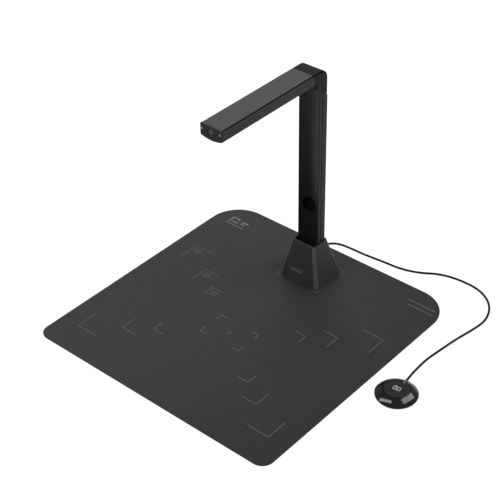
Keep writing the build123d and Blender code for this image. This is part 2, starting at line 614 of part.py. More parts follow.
PANEL_FRONT_Y = TUB_FRONT_Y + 0.1
with BuildPart() as head_top_panel:
    with BuildSketch(Plane.XY.offset(TUB_TOP_Z)):
        with Locations((0, (PANEL_FRONT_Y + SEAM_LOW_Y) / 2)):
            Rectangle(2 * PANEL_HALF_W, SEAM_LOW_Y - PANEL_FRONT_Y)
    extrude(amount=PANEL_T)
    extrude(behind_seam(), amount=2 * HEAD_HALF_W + 2, dir=(1, 0, 0), mode=Mode.SUBTRACT)
    chamfer(head_top_panel.faces().sort_by(Axis.Z)[-1].edges().filter_by(Axis.Y), 0.3)
    # tongue that drops between the tub's sides
    with BuildSketch(Plane.XY.offset(TUB_TOP_Z)):
        with Locations((0, (PANEL_FRONT_Y + SEAM_TOP_Y) / 2)):
            Rectangle(2 * (CHEEK_X - 0.2), SEAM_TOP_Y - PANEL_FRONT_Y - 2)
    extrude(amount=-1.2)
    # posts underneath that rest on the chassis
    with BuildSketch(Plane.XY.offset(TUB_TOP_Z)):
        with GridLocations(24, 40, 2, 4):
            Circle(2.6)
    extrude(amount=CHASSIS_Z + CHASSIS_T - TUB_TOP_Z)
finish(head_top_panel.part, "head_top_panel")

BLOCK_SCREW_Y = 154.5
with BuildPart() as head_chassis:
    with BuildSketch(Plane.XY.offset(CHASSIS_Z)):
        with Locations((0, 54.0)):
            RectangleRounded(2 * 11.0, 232.0, 2.0)
        with Locations((0, 36.0)):
            RectangleRounded(2 * 17.4, 190.0, 2.0)
    extrude(amount=CHASSIS_T)
    with Locations((0, BLOCK_SCREW_Y, CHASSIS_Z)):
        with GridLocations(14, 8, 2, 2):
            Cylinder(SCREW_R + 0.02, 8, mode=Mode.SUBTRACT)
    with Locations((0, 0, CHASSIS_Z)):
        with GridLocations(24, 120, 2, 2):
            Cylinder(SCREW_R + 0.02, 8, mode=Mode.SUBTRACT)
finish(head_chassis.part, "head_chassis")

with BuildPart() as head_block_spacers:
    with BuildSketch(Plane.XY.offset(CHASSIS_Z + CHASSIS_T)):
        with Locations((0, BLOCK_SCREW_Y)):
            with GridLocations(14, 8, 2, 2):
                Circle(3.0)
                Circle(SCREW_R, mode=Mode.SUBTRACT)
    extrude(amount=HEAD_TOP_Z - HEAD_WALL - CHASSIS_Z - CHASSIS_T)
finish(head_block_spacers.part, "head_block_spacers")

with BuildPart() as head_screws:
    with Locations((0, BLOCK_SCREW_Y, CHASSIS_Z)):
        with GridLocations(14, 8, 2, 2):
            Cylinder(SCREW_R, 5.6, align=(Align.CENTER, Align.CENTER, Align.MIN))
            Cylinder(2.4, 0.9, align=(Align.CENTER, Align.CENTER, Align.MAX))
    with Locations((0, 0, CHASSIS_Z)):
        with GridLocations(24, 120, 2, 2):
            Cylinder(SCREW_R, CHASSIS_T, align=(Align.CENTER, Align.CENTER, Align.MIN))
            Cylinder(2.4, 0.9, align=(Align.CENTER, Align.CENTER, Align.MAX))
finish(head_screws.part, "head_screws")

END_LENS_Z, END_LENS_R = 404.4, 5.4
END_LIGHT_Z, END_LIGHT_R, END_LIGHT_SPAN = 405.4, 2.4, 36.0

with BuildPart() as head_end_cap:
    with BuildSketch(Plane.XZ.offset(-HEAD_TIP_Y)):
        add(head_section(HEAD_HALF_W, HEAD_TOP_Z, BELLY_DEPTH))
    extrude(amount=-CAP_T + 0.05)
    chamfer(head_end_cap.faces().sort_by(Axis.Y)[0].edges(), 0.5)
    with Locations((0, HEAD_TIP_Y, END_LENS_Z)):
        Cylinder(END_LENS_R + 0.1, 3, rotation=(90, 0, 0), mode=Mode.SUBTRACT)
    with Locations((0, HEAD_TIP_Y, END_LIGHT_Z)):
        with GridLocations(END_LIGHT_SPAN, 1, 2, 1):
            Cylinder(END_LIGHT_R + 0.05, 3, rotation=(90, 0, 0), mode=Mode.SUBTRACT)
finish(head_end_cap.part, "head_end_cap")

with BuildPart() as end_lens:
    with BuildSketch(Plane.XZ.offset(-(HEAD_TIP_Y + 0.2))):
        with Locations((0, END_LENS_Z)):
            Circle(END_LENS_R)
    extrude(amount=-1.2)
    chamfer(end_lens.faces().sort_by(Axis.Y)[0].edges(), 0.4)
finish(end_lens.part, "end_lens")

with BuildPart() as end_lights:
    with Locations((0, HEAD_TIP_Y + 0.75, END_LIGHT_Z)):
        with GridLocations(END_LIGHT_SPAN, 1, 2, 1):
            Cylinder(END_LIGHT_R, 1.4, rotation=(90, 0, 0))
finish(end_lights.part, "end_lights")

# camera: window, lens and sensor stacked above the hole in the belly
BELLY_Z = HEAD_SIDE_Z - BELLY_DEPTH
with BuildPart() as camera_window:
    with BuildSketch(Plane.XY.offset(BELLY_Z + 0.3)):
        with Locations((0, LENS_Y)):
            Circle(8.4)
    extrude(amount=1.2)
finish(camera_window.part, "camera_window")

with BuildPart() as camera_barrel:
    with BuildSketch(Plane.XY.offset(BELLY_Z + 2.0)):
        with Locations((0, LENS_Y)):
            Circle(6.0)
            Circle(4.2, mode=Mode.SUBTRACT)
    extrude(amount=5.4)
    with BuildSketch(Plane.XY.offset(BELLY_Z + 3.6)):
        with Locations((0, LENS_Y)):
            Circle(6.6)
            Circle(4.2, mode=Mode.SUBTRACT)
    extrude(amount=1.0)
finish(camera_barrel.part, "camera_barrel")

with BuildPart() as camera_lens:
    with BuildSketch(Plane(origin=(0, LENS_Y, 0), x_dir=(1, 0, 0), z_dir=(0, -1, 0))):
        with BuildLine():
            ThreePointArc((0, BELLY_Z + 2.4), (2.2, BELLY_Z + 2.75), (4.15, BELLY_Z + 3.8))
            Polyline((4.15, BELLY_Z + 3.8), (4.15, BELLY_Z + 5.0), (0, BELLY_Z + 5.0),
                     (0, BELLY_Z + 2.4))
        make_face()
    revolve(axis=Axis((0, LENS_Y, 0), (0, 0, 1)))
finish(camera_lens.part, "camera_lens")

SENSOR_Z = BELLY_Z + 10.4
with BuildPart() as camera_holder:
    with BuildSketch(Plane.XY.offset(BELLY_Z + 7.4)):
        with Locations((0, LENS_Y)):
            RectangleRounded(17, 17, 1.5)
            Rectangle(8, 8, mode=Mode.SUBTRACT)
    extrude(amount=SENSOR_Z - BELLY_Z - 7.4)
finish(camera_holder.part, "camera_holder")

with BuildPart() as sensor_board:
    with BuildSketch(Plane.XY.offset(SENSOR_Z)):
        with Locations((0, LENS_Y)):
            Rectangle(24, 24)
    extrude(amount=1.2)
    with BuildSketch(Plane.XY.offset(SENSOR_Z)):
        with Locations((0, LENS_Y)):
            Rectangle(6.5, 5.0)
    extrude(amount=-1.0)
finish(sensor_board.part, "sensor_board")

with BuildPart() as lamp_diffuser:
    with BuildSketch(Plane.XY.offset(BELLY_Z + 0.3)):
        with Locations((0, LAMP_Y)):
            SlotOverall(LAMP_L - 0.4, LAMP_W - 0.4, rotation=90)
    extrude(amount=1.6)
finish(lamp_diffuser.part, "lamp_diffuser")

LAMP_BOARD_Z = BELLY_Z + 4.2
with BuildPart() as lamp_board:
    with BuildSketch(Plane.XY.offset(LAMP_BOARD_Z)):
        with Locations((0, LAMP_Y)):
            Rectangle(11, LAMP_L + 4)
    extrude(amount=1.2)
finish(lamp_board.part, "lamp_board")

LED_COUNT = 7
with BuildPart() as lamp_leds:
    with Locations((0, LAMP_Y, LAMP_BOARD_Z)):
        with GridLocations(1, 8.0, 1, LED_COUNT):
            Box(3.0, 2.8, 0.9, align=(Align.CENTER, Align.CENTER, Align.MAX))
finish(lamp_leds.part, "lamp_leds")

with BuildPart() as head_board:
    with BuildSketch(Plane.XY.offset(CHASSIS_Z - 3.4)):
        with Locations((0, 96)):
            Rectangle(30, 78)
    extrude(amount=1.6)
    with BuildSketch(Plane.XY.offset(CHASSIS_Z - 3.4)):
        with Locations((0, 80), (6, 104), (-7, 118)):
            Rectangle(10, 10)
    extrude(amount=-1.2)
finish(head_board.part, "head_board")

with BuildPart() as head_ribbon:
    with BuildSketch(Plane.XY.offset(SENSOR_Z + 1.2)):
        with Locations((0, 9.5)):
            Rectangle(12, 95)
    extrude(amount=0.3)
finish(head_ribbon.part, "head_ribbon")

# ---------------------------------------------------------------- remote button
turn = math.radians(PUCK_TURN)
puck_x_dir = (math.cos(turn), math.sin(turn), 0)
puck_y_dir = (-math.sin(turn), math.cos(turn), 0)
puck_plane = Plane(origin=(PUCK_X, PUCK_Y, 0), x_dir=puck_x_dir, z_dir=(0, 0, 1))
puck_section = Plane(origin=(PUCK_X, PUCK_Y, 0), x_dir=puck_x_dir, z_dir=(-puck_y_dir[0], -puck_y_dir[1], 0))
puck_axis = Axis((PUCK_X, PUCK_Y, 0), (0, 0, 1))
PUCK_FLOOR_Z = 3.2
PUCK_SPLIT_Z = PUCK_RIM_Z + 0.6


def puck_point(radius, z):
    """Point at a radius on the cord side of the remote, at height z."""
    return (PUCK_X + puck_y_dir[0] * radius, PUCK_Y + puck_y_dir[1] * radius, z)


gland_plane = Plane(origin=puck_point(0, PUCK_RIM_Z), x_dir=puck_x_dir, z_dir=puck_y_dir)
PUCK_GLAND_R = 36.7

with BuildPart() as puck_bottom:
    with BuildSketch(puck_section):
        with BuildLine():
            Polyline((0, 1.2), (28.4, 1.2))
            ThreePointArc((28.4, 1.2), (33.6, 2.6), (PUCK_R, PUCK_RIM_Z))
            Polyline((PUCK_R, PUCK_RIM_Z), (PUCK_R - 0.1, PUCK_SPLIT_Z), (PUCK_R - 2.4, PUCK_SPLIT_Z),
                     (30.4, PUCK_FLOOR_Z), (0, PUCK_FLOOR_Z), (0, 1.2))
        make_face()
    revolve(axis=puck_axis)
    with BuildSketch(gland_plane.offset(24)):
        Circle(2.75)
    extrude(amount=14, mode=Mode.SUBTRACT)
finish(puck_bottom.part, "puck_bottom")

with BuildPart() as puck_foot:
    with BuildSketch(Plane(origin=(PUCK_X, PUCK_Y, 0))):
        Circle(28.0)
        Circle(23.0, mode=Mode.SUBTRACT)
    extrude(amount=1.2)
    fillet(puck_foot.faces().sort_by(Axis.Z)[0].edges(), 0.3)
finish(puck_foot.part, "puck_foot")

RING_LOW_R = PUCK_R - 0.35
with BuildPart() as puck_ring:
    with BuildSketch(puck_section):
        with BuildLine():
            ThreePointArc((RING_LOW_R, PUCK_SPLIT_Z + 0.15), (29.3, 11.5), (PUCK_TOP_R, PUCK_TOP_Z))
            Polyline((PUCK_TOP_R, PUCK_TOP_Z), (22.05, PUCK_TOP_Z - 0.6), (22.05, 12.2), (25.0, 11.2),
                     (30.8, 7.2), (31.8, PUCK_SPLIT_Z + 0.15), (RING_LOW_R, PUCK_SPLIT_Z + 0.15))
        make_face()
    revolve(axis=puck_axis)
    with BuildSketch(gland_plane.offset(26)):
        Circle(2.75)
    extrude(amount=14, mode=Mode.SUBTRACT)
finish(puck_ring.part, "puck_ring")

SYMBOL_W, SYMBOL_D, SYMBOL_LINE = 13.0, 8.6, 1.2
LIGHT_X, LIGHT_Y = 3.6, 18.5


def camera_symbol(grow):
    """Line drawing of a camera: body, viewfinder bump and lens ring, each line wider by 2 x grow."""
    line = SYMBOL_LINE + 2 * grow
    with BuildSketch(puck_plane.offset(CAP_Z - 0.5)) as symbol:
        RectangleRounded(SYMBOL_W + 2 * grow, SYMBOL_D + 2 * grow, 1.5)
        RectangleRounded(SYMBOL_W + 2 * grow - 2 * line, SYMBOL_D + 2 * grow - 2 * line, 0.6,
                         mode=Mode.SUBTRACT)
        Circle(2.4 + grow)
        Circle(2.4 + grow - line, mode=Mode.SUBTRACT)
        with Locations((-3.2, SYMBOL_D / 2 + 0.4)):
            Rectangle(3.4 + 2 * grow, 1.2 + 2 * grow)
    return symbol.sketch


# The cap is a shallow lid with a skirt, a retaining flange and a plunger over the switch.
with BuildPart() as puck_cap:
    with BuildSketch(puck_section):
        with BuildLine():
            ThreePointArc((0, CAP_Z), (CAP_R * 0.55, CAP_Z - 0.08), (CAP_R - 1.0, CAP_Z - 0.3))
            Polyline((CAP_R - 1.0, CAP_Z - 0.3), (CAP_R - 0.2, CAP_Z - 0.75), (CAP_R, CAP_Z - 1.5),
                     (CAP_R, 11.8), (CAP_R + 1.2, 11.5), (CAP_R + 1.2, 10.4), (CAP_R - 1.6, 10.4),
                     (CAP_R - 1.6, CAP_Z - 2.3), (2.5, CAP_Z - 2.3), (2.5, 9.4), (0, 9.4), (0, CAP_Z))
        make_face()
    revolve(axis=puck_axis)
    with BuildSketch(puck_plane.offset(CAP_Z + 1)):
        with Locations((LIGHT_X, LIGHT_Y)):
            Circle(1.5)
    extrude(amount=-8, mode=Mode.SUBTRACT)
    # shallow recess for the camera symbol
    extrude(camera_symbol(0.05), amount=1.5, dir=(0, 0, 1), mode=Mode.SUBTRACT)
finish(puck_cap.part, "puck_cap")

SYMBOL_Z = CAP_Z - 0.05
with BuildPart() as puck_symbol:
    extrude(camera_symbol(0), amount=SYMBOL_Z - CAP_Z + 0.5, dir=(0, 0, 1))
finish(puck_symbol.part, "puck_symbol")

with BuildPart() as puck_board:
    with BuildSketch(puck_plane.offset(4.6)):
        Circle(18.5)
        with PolarLocations(15.0, 3, start_angle=30):
            Circle(0.92, mode=Mode.SUBTRACT)
    extrude(amount=1.4)
finish(puck_board.part, "puck_board")

with BuildPart() as puck_board_posts:
    with BuildSketch(puck_plane.offset(PUCK_FLOOR_Z)):
        with PolarLocations(15.0, 3, start_angle=30):
            Circle(2.2)
            Circle(0.9, mode=Mode.SUBTRACT)
    extrude(amount=1.4)
finish(puck_board_posts.part, "puck_board_posts")

with BuildPart() as puck_screws:
    with BuildSketch(puck_plane.offset(6.0)):
        with PolarLocations(15.0, 3, start_angle=30):
            Circle(2.0)
    extrude(amount=0.9)
    with BuildSketch(puck_plane.offset(6.0)):
        with PolarLocations(15.0, 3, start_angle=30):
            Circle(0.9)
    extrude(amount=-2.4)
finish(puck_screws.part, "puck_screws")

with BuildPart() as puck_switch:
    with BuildSketch(puck_plane.offset(6.0)):
        RectangleRounded(6.0, 6.0, 0.5)
    extrude(amount=1.5)
finish(puck_switch.part, "puck_switch")

SPRING_R, SPRING_WIRE = 8.0, 0.4
SPRING_LOW_Z, SPRING_HIGH_Z = 6.4, CAP_Z - 2.3 - SPRING_WIRE
with BuildPart() as puck_spring:
    with BuildLine(Plane(origin=(PUCK_X, PUCK_Y, SPRING_LOW_Z))):
        coil = Helix(pitch=(SPRING_HIGH_Z - SPRING_LOW_Z) / 3, height=SPRING_HIGH_Z - SPRING_LOW_Z,
                     radius=SPRING_R)
    with BuildSketch(Plane(origin=coil @ 0, z_dir=coil % 0)):
        Circle(SPRING_WIRE)
    sweep(path=coil)
finish(puck_spring.part, "puck_spring")

with BuildPart() as puck_light:
    with BuildSketch(puck_plane.offset(6.0)):
        with Locations((LIGHT_X, LIGHT_Y)):
            Circle(1.2)
    extrude(amount=CAP_Z - 0.9 - 6.0)
finish(puck_light.part, "puck_light")

with BuildPart() as puck_cord_gland:
    with BuildSketch(gland_plane.offset(27.5)):
        Circle(2.6)
    extrude(amount=PUCK_GLAND_R - 27.5)
finish(puck_cord_gland.part, "puck_cord_gland")

# ---------------------------------------------------------------- remote's cord
# From the boot in the base, over the mat's back edge, round the mat on the desk to the remote.
LIE = CORD_D / 2 + 0.1
gland_end = (GLAND_X, GLAND_END_Y, GLAND_Z)
puck_end = puck_point(PUCK_GLAND_R, PUCK_RIM_Z)
cord_route = [
    gland_end, (GLAND_X, 225, GLAND_Z), (-28.4, 242, 6.4), (-26.4, 258, 2.8), (-13, 269.2, LIE),
    (10, 271.6, LIE), (42, 271.8, LIE), (81, 276, LIE), (120, 278.6, LIE), (151, 290, LIE),
    (179, 309.5, LIE), (215, 318.2, LIE), (261, 316, LIE), (296, 292, LIE), (312.5, 254, LIE),
    (308.5, 217, LIE), (301, 181, LIE), (296.4, 142, LIE), (292, 108, LIE), (293.4, 78, 2.6),
    puck_point(PUCK_GLAND_R + 17, PUCK_RIM_Z), puck_end,
]


def bend_radii(route):
    """As large an arc at each inner point as its two runs allow, and no larger than 400 mm."""
    radii = []
    for before, at, after in zip(route, route[1:], route[2:]):
        run_in, run_out = Vector(at) - Vector(before), Vector(after) - Vector(at)
        half_turn = math.radians(run_in.get_angle(run_out)) / 2
        reach = 0.45 * min(run_in.length, run_out.length)
        radii.append(min(reach / math.tan(half_turn), 400.0))
    return radii


cord_radii = bend_radii(cord_route)
with BuildPart() as remote_cord:
    with BuildLine():
        path = FilletPolyline(*cord_route, radius=cord_radii)
    with BuildSketch(Plane(origin=path @ 0, z_dir=path % 0)):
        Circle(CORD_D / 2)
    sweep(path=path)
finish(remote_cord.part, "remote_cord")

print("cord radii", [round(r) for r in cord_radii])
print("cord length", round(path.length, 1), "volume ratio",
      round(remote_cord.part.volume / (math.pi * CORD_D**2 / 4 * path.length), 4))
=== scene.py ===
"""Looks of the document camera: camera, remote's cord, print, detail pieces, materials and light.

Metres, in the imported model's frame: the origin is the centre of the mat's underside, +Z up,
and the head points along -Y.
"""
import json
import math

import bmesh
import bpy
from mathutils import Matrix, Quaternion, Vector


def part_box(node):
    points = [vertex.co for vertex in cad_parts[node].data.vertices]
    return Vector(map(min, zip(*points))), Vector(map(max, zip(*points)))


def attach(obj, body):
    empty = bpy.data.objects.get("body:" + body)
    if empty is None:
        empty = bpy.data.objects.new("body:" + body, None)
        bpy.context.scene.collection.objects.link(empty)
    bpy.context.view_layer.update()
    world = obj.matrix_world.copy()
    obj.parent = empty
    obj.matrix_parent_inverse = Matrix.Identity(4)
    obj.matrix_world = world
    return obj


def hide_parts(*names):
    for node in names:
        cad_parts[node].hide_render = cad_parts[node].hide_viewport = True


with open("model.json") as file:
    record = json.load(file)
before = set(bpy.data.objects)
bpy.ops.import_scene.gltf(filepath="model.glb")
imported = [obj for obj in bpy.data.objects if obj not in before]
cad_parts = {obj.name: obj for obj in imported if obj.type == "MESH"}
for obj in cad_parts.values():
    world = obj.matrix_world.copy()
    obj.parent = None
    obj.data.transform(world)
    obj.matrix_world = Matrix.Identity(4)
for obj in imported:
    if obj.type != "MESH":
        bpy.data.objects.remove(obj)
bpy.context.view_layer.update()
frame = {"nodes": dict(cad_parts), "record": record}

MM = 0.001
scene = bpy.context.scene


# ---------------------------------------------------------------- camera

AIM = Vector((-0.127, 0.154, 0.0))    # the desk's point in the picture's middle
DISTANCE = 2.418
AZIMUTH = math.radians(41.33)         # from -Y towards +X
ELEVATION = math.radians(36.285)
ROLL = math.radians(-1.134)
LENS = 95.97                          # mm
SENSOR = 36.0                         # mm, wide

backward = Vector((math.sin(AZIMUTH) * math.cos(ELEVATION),
                   -math.cos(AZIMUTH) * math.cos(ELEVATION), math.sin(ELEVATION)))
level = Vector((math.cos(AZIMUTH), math.sin(AZIMUTH), 0.0))
upright = backward.cross(level)
right = level * math.cos(ROLL) + upright * math.sin(ROLL)
up = backward.cross(right)

camera_data = bpy.data.cameras.new("camera")
camera_data.lens = LENS
camera_data.sensor_width = SENSOR
camera = bpy.data.objects.new("camera", camera_data)
camera.matrix_world = Matrix.Translation(AIM + backward * DISTANCE) @ Matrix(
    (right, up, backward)).transposed().to_4x4()
scene.collection.objects.link(camera)
scene.camera = camera


# ---------------------------------------------------------------- the remote's cord

CORD_D = 4.0 * MM
LIE = 2.1                             # mm, height of the lying cord's middle
PUCK_CENTRE = Vector((304.2, 5.7, 0.0))
PUCK_TURN = math.radians(8.5)
GLAND_HEIGHT = 5.6                    # mm, where the cord enters the remote
GLAND_REACH = 36.7                    # mm, from the remote's centre to the end of its gland
STRAIGHT = 17.0                       # mm, the cord's straight run up to the gland


def puck_point(radius):
    """A point, in mm, on the line where the cord enters the remote."""
    return (PUCK_CENTRE.x - radius * math.sin(PUCK_TURN),
            PUCK_CENTRE.y + radius * math.cos(PUCK_TURN), GLAND_HEIGHT)


CORD_ROUTE = (
    (-27, 211.5, 10.5), (-27, 225, 10.5), (-28.4, 242, 6.4), (-26.4, 258, 2.8), (-13, 269.2, LIE),
    (10, 271.6, LIE), (42, 271.8, LIE), (81, 276, LIE), (120, 278.6, LIE), (151, 290, LIE),
    (179, 309.5, LIE), (215, 318.2, LIE), (261, 316, LIE), (296, 292, LIE), (312.5, 254, LIE),
    (308.5, 217, LIE), (301, 181, LIE), (296.4, 142, LIE), (292, 108, LIE), (293.4, 78, 2.6),
    puck_point(GLAND_REACH + STRAIGHT), puck_point(GLAND_REACH),
)

cord_data = bpy.data.curves.new("remote_cord_run", "CURVE")
cord_data.dimensions = "3D"
cord_data.bevel_depth = 1.0           # times a point's radius, which the cord's box grows by
cord_data.bevel_resolution = 6
cord_data.resolution_u = 12
cord_data.use_fill_caps = True
line = cord_data.splines.new("NURBS")
line.points.add(len(CORD_ROUTE) - 1)
for control, place in zip(line.points, CORD_ROUTE):
    control.co = (*(Vector(place) * MM), 1.0)
    control.radius = CORD_D / 2
line.order_u = 3
line.use_endpoint_u = True
cord = bpy.data.objects.new("remote_cord_run", cord_data)
scene.collection.objects.link(cord)
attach(cord, "stand")
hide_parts("remote_cord")


# ---------------------------------------------------------------- materials

class Nodes:
    """Builds one material's node tree."""

    def __init__(self, name):
        self.material = bpy.data.materials.new(name)
        self.material.use_nodes = True
        self.tree = self.material.node_tree
        self.shader = self.tree.nodes["Principled BSDF"]
        self.place = self.add("ShaderNodeTexCoord").outputs["Object"]

    def add(self, kind, inputs=None, **settings):
        """A node whose inputs are set to values or linked to sockets."""
        node = self.tree.nodes.new(kind)
        for key, value in settings.items():
            setattr(node, key, value)
        for key, value in (inputs or {}).items():
            if isinstance(value, bpy.types.NodeSocket):
                self.tree.links.new(value, node.inputs[key])
            else:
                node.inputs[key].default_value = value
        return node

    def link(self, output, socket):
        self.tree.links.new(output, self.shader.inputs[socket])

    def noise(self, size, detail=2.0, stretch=(1, 1, 1)):
        """Noise whose lumps are about size mm across."""
        place = self.add("ShaderNodeMapping", {"Vector": self.place, "Scale": stretch}).outputs[0]
        return self.add("ShaderNodeTexNoise", {"Vector": place, "Scale": 1 / (size * MM),
                                               "Detail": detail}).outputs["Fac"]

    def maths(self, operation, *values):
        return self.add("ShaderNodeMath", dict(enumerate(values)), operation=operation).outputs[0]

    def rescale(self, value, low, high, to_low=0.0, to_high=1.0):
        """A value from low to high taken to the range from to_low to to_high."""
        return self.add("ShaderNodeMapRange", {"Value": value, "From Min": low, "From Max": high,
                                               "To Min": to_low, "To Max": to_high}).outputs[0]

    def spread(self, value, low, high):
        """Noise, most of which lies between 0.3 and 0.7, stretched over low to high."""
        return self.rescale(value, 0.3, 0.7, low, high)

    def bump(self, height, distance, strength=1.0, after=None):
        """Relief distance mm deep, on top of the normal given as after."""
        inputs = {"Height": height, "Distance": distance * MM, "Strength": strength}
        if after is not None:
            inputs["Normal"] = after
        return self.add("ShaderNodeBump", inputs).outputs["Normal"]

    def edges(self, radius):
        """0 on flats and up to 1 where the surface turns within radius mm: lighter edges, partly
        wear and partly a painted highlight.
        """
        bevel = self.add("ShaderNodeBevel", {"Radius": radius * MM}, samples=6).outputs[0]
        normal = self.add("ShaderNodeNewGeometry").outputs["Normal"]
        along = self.add("ShaderNodeVectorMath", {0: bevel, 1: normal},
                         operation="DOT_PRODUCT").outputs["Value"]
        return self.rescale(along, 0.995, 0.9)

    def normal(self):
        """The surface normal's X, Y and Z."""
        normal = self.add("ShaderNodeNewGeometry").outputs["Normal"]
        return self.add("ShaderNodeSeparateXYZ", {0: normal}).outputs

    def sideways(self, near, far):
        """1 on faces that look along X and lie near to far mm from the middle plane, else 0."""
        across = self.maths("ABSOLUTE", self.normal()[0])
        away = self.maths("ABSOLUTE", self.add("ShaderNodeSeparateXYZ", {0: self.place}).outputs[0])
        beyond = self.maths("MULTIPLY", self.maths("GREATER_THAN", across, 0.6),
                            self.maths("GREATER_THAN", away, near * MM))
        return self.maths("MULTIPLY", beyond, self.maths("LESS_THAN", away, far * MM))

    def diagonal(self):
        """1 on upright faces that look between X and Y, fading to 0 on the straight ones: the mask
        for the painted corner highlight.
        """
        normal = self.normal()
        both = self.maths("ABSOLUTE", self.maths("MULTIPLY", normal[0], normal[1]))
        return self.rescale(both, 0.25, 0.4)

    def mix(self, factor, first, second):
        """From the first colour at factor 0 to the second at 1."""
        node = self.add("ShaderNodeMix", data_type="RGBA")
        for index, value in ((0, factor), (6, first), (7, second)):
            if isinstance(value, bpy.types.NodeSocket):
                self.tree.links.new(value, node.inputs[index])
            else:
                node.inputs[index].default_value = value if index == 0 else (*value, 1.0)
        return node.outputs[2]


def grey(level, tint=0.0):
    """A linear grey, a little blue for a positive tint."""
    return (level * (1 - tint), level, level * (1 + tint))


def plastic(name, level, rough, grain=0.35, depth=0.02, specular=0.3, edge_wear_and_highlight=1.2, blotch=0.12,
            gap_shade=None, corner_highlight=None):
    """Moulded plastic: fine spark-eroded grain, faint cloudiness and edges painted lighter,
    partly as wear and partly as a painted highlight.

    The gap-shade band is a pair of distances in mm from the object's middle plane: faces that look
    sideways between them are painted near black, a painted shade for the shadow gap there, and lose
    their shine. The corner highlight is how much paler the diagonal cut corners are painted: a
    painted highlight where the light falls on them.
    """
    n = Nodes(name)
    cloud = n.spread(n.noise(28, 3), 0, 1)
    body = n.mix(cloud, grey(level * (1 - blotch), 0.01), grey(level * (1 + blotch), 0.01))
    # Edges painted lighter: partly wear, partly a painted highlight.
    body = n.mix(n.edges(0.5), body, grey(level * edge_wear_and_highlight, 0.01))
    # Painted highlight: the diagonal cut corners are painted paler where the light falls on them.
    if corner_highlight:
        body = n.mix(n.diagonal(), body, grey(level * corner_highlight, 0.01))
    # Painted shade: sideways faces in the band go near black for the shadow gap and lose their
    # shine.
    if gap_shade:
        dark = n.sideways(*gap_shade)
        body = n.mix(dark, body, grey(0.002))
        n.link(n.rescale(dark, 0.0, 1.0, specular, 0.02), "Specular IOR Level")
    else:
        n.shader.inputs["Specular IOR Level"].default_value = specular
    n.link(body, "Base Color")
    n.link(n.spread(n.noise(6, 3), rough - 0.04, rough + 0.04), "Roughness")
    n.link(n.bump(n.noise(grain, 2), depth), "Normal")
    return n.material


def gloss(name, level, rough=0.06, specular=0.5):
    """Polished black plastic: faint haze, swirl-fine scratches and a little orange peel."""
    n = Nodes(name)
    haze = n.spread(n.noise(14, 3), 0, 1)
    n.link(n.mix(haze, grey(level * 0.8), grey(level * 1.2)), "Base Color")
    scratch = n.noise(0.4, 2, stretch=(1, 0.06, 1))
    n.link(n.spread(scratch, rough * 0.7, rough * 1.5), "Roughness")
    n.link(n.bump(n.noise(9, 1), 0.003), "Normal")
    n.shader.inputs["Specular IOR Level"].default_value = specular
    return n.material


def metal(name, level, rough, stretch):
    """Machined metal with tool lines."""
    n = Nodes(name)
    lines = n.noise(0.25, 3, stretch=stretch)
    n.link(n.mix(n.spread(lines, 0, 1), grey(level * 0.85), grey(level * 1.1)), "Base Color")
    n.link(n.spread(lines, rough - 0.06, rough + 0.08), "Roughness")
    n.link(n.bump(lines, 0.01), "Normal")
    n.shader.inputs["Metallic"].default_value = 1.0
    return n.material


def mat_material():
    """Leather-like grain on a thin dark sheet, rubbed in patches, and painted lighter towards -X:
    a painted gradient of light across the sheet.

    The painted light gradient runs over the sheet's width, a quarter of a metre either side of its
    middle.
    """
    n = Nodes("mat_sheet")
    cells = n.add("ShaderNodeTexVoronoi", {"Vector": n.place, "Scale": 1 / (1.1 * MM)},
                  feature="F1").outputs["Distance"]
    fine = n.noise(0.5, 3)
    rub = n.noise(150, 4)
    across = n.add("ShaderNodeSeparateXYZ", {0: n.place}).outputs[0]
    # Painted light: the sheet is painted lighter towards -X, as the light falls across it.
    body = n.mix(n.rescale(across, 0.25, -0.25), grey(0.010), grey(0.027))
    body = n.mix(n.spread(rub, 0, 0.25), body, grey(0.021))
    n.link(n.mix(n.spread(n.noise(2.2, 3), 0, 0.2), body, grey(0.027)), "Base Color")
    n.link(n.spread(n.noise(18, 3), 0.54, 0.62), "Roughness")
    n.link(n.bump(fine, 0.03, after=n.bump(cells, 0.05, 0.6)), "Normal")
    n.shader.inputs["Specular IOR Level"].default_value = 0.22
    return n.material


def rubber(name, level, rough, specular=0.3):
    """Soft matt moulding with a very fine grain."""
    n = Nodes(name)
    cloud = n.spread(n.noise(9, 3), 0, 1)
    n.link(n.mix(cloud, grey(level * 0.85), grey(level * 1.2)), "Base Color")
    n.link(n.spread(n.noise(3, 2), rough - 0.05, rough + 0.05), "Roughness")
    n.link(n.bump(n.noise(0.3, 2), 0.015), "Normal")
    n.shader.inputs["Specular IOR Level"].default_value = specular
    return n.material


def board():
    """Green solder mask with faint copper runs under it."""
    n = Nodes("board")
    runs = n.add("ShaderNodeTexBrick", {
        "Vector": n.place, "Scale": 160.0, "Mortar Size": 0.03,
        "Color1": (0.012, 0.08, 0.03, 1), "Color2": (0.014, 0.09, 0.035, 1),
        "Mortar": (0.03, 0.16, 0.07, 1)})
    n.link(runs.outputs["Color"], "Base Color")
    n.link(n.spread(n.noise(3, 2), 0.3, 0.42), "Roughness")
    n.link(n.bump(n.noise(0.6, 2), 0.01), "Normal")
    return n.material


def ribbon():
    """Amber film with conductors along its length."""
    n = Nodes("ribbon")
    lines = n.noise(0.7, 1, stretch=(1, 0.01, 0.01))
    n.link(n.mix(n.spread(lines, 0, 1), (0.42, 0.2, 0.04), (0.62, 0.34, 0.08)), "Base Color")
    n.link(n.spread(lines, 0.28, 0.4), "Roughness")
    n.link(n.bump(lines, 0.01), "Normal")
    return n.material


